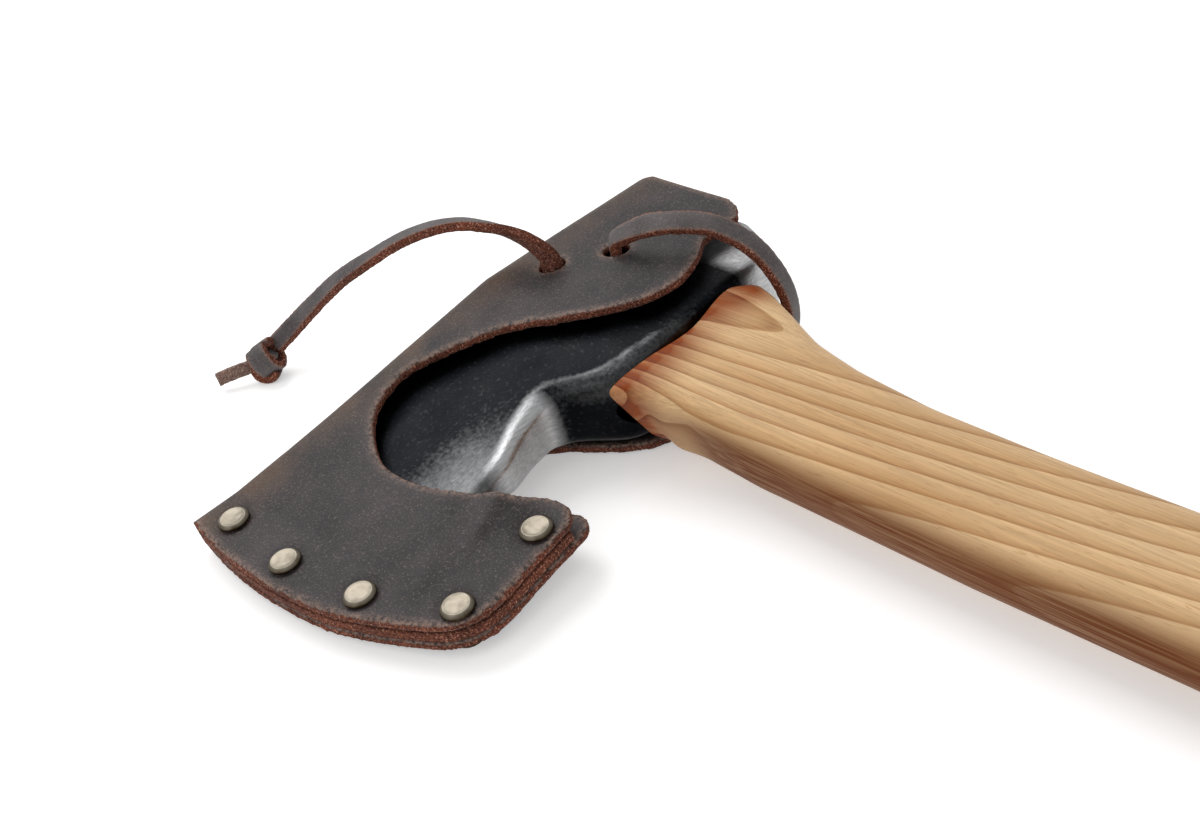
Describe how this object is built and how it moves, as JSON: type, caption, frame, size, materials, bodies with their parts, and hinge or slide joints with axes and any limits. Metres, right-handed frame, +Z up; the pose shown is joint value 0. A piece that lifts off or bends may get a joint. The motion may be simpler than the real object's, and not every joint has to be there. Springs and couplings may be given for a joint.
{
  "type": "hatchet",
  "caption": "Hatchet with a forged head and a curved wooden handle, its edge in a riveted leather sheath held on by a knotted leather lace.",
  "frame": {"origin": "under the middle of the box of the hatchet and sheath without the free lace end, on the table it lies on", "axes": "+X along the handle towards its butt, +Y from the cutting edge to the poll, +Z up; the hatchet lies on its side"},
  "size_m": [0.4506, 0.161, 0.0498],
  "materials": {
    "forged_steel": "forge scale over steel, ground bright at the edge and the beard",
    "bright_steel": "plain steel",
    "hickory": "linseed oil",
    "wedge_wood": "sawn",
    "oiled_leather": "oiled vegetable-tanned hide, nearly black brown",
    "leather_edge": "cut edge, undyed fibre",
    "lace_leather": "smooth grain, rough cut edges",
    "rivet_brass": "antiqued, satin"
  },
  "bodies": {
    "hatchet": {"axe_head": "forged_steel", "handle": "hickory", "wood_wedge": "wedge_wood", "steel_wedge": "bright_steel"},
    "sheath": {"sheath_leather": "oiled_leather", "sheath_welt": "leather_edge", "rivet_front_1": "rivet_brass", "rivet_back_1": "rivet_brass", "rivet_front_2": "rivet_brass", "rivet_back_2": "rivet_brass", "rivet_front_3": "rivet_brass", "rivet_back_3": "rivet_brass", "rivet_front_4": "rivet_brass", "rivet_back_4": "rivet_brass", "rivet_front_5": "rivet_brass", "rivet_back_5": "rivet_brass", "lace_run_upper": "lace_leather", "lace_run_lower": "lace_leather", "lace_free": "lace_leather", "lace_knot": "lace_leather", "lace_tail": "lace_leather"},
    "lace_bail": {"lace_loop": "lace_leather"}
  },
  "joints": [
    {"name": "sheath_slide", "type": "slide", "parent": "hatchet", "child": "sheath", "axis": [-0.1072, -0.9866, -0.1226], "range_m": [0, 0.16], "deforming": ["lace_loop"]},
    {"name": "loop_swing", "type": "hinge", "parent": "sheath", "child": "lace_bail", "pos_m": [-0.15235, 0.04678, 0.02139], "axis": [0.0111, -0.1245, 0.9922], "range_deg": [0, 150]}
  ]
}
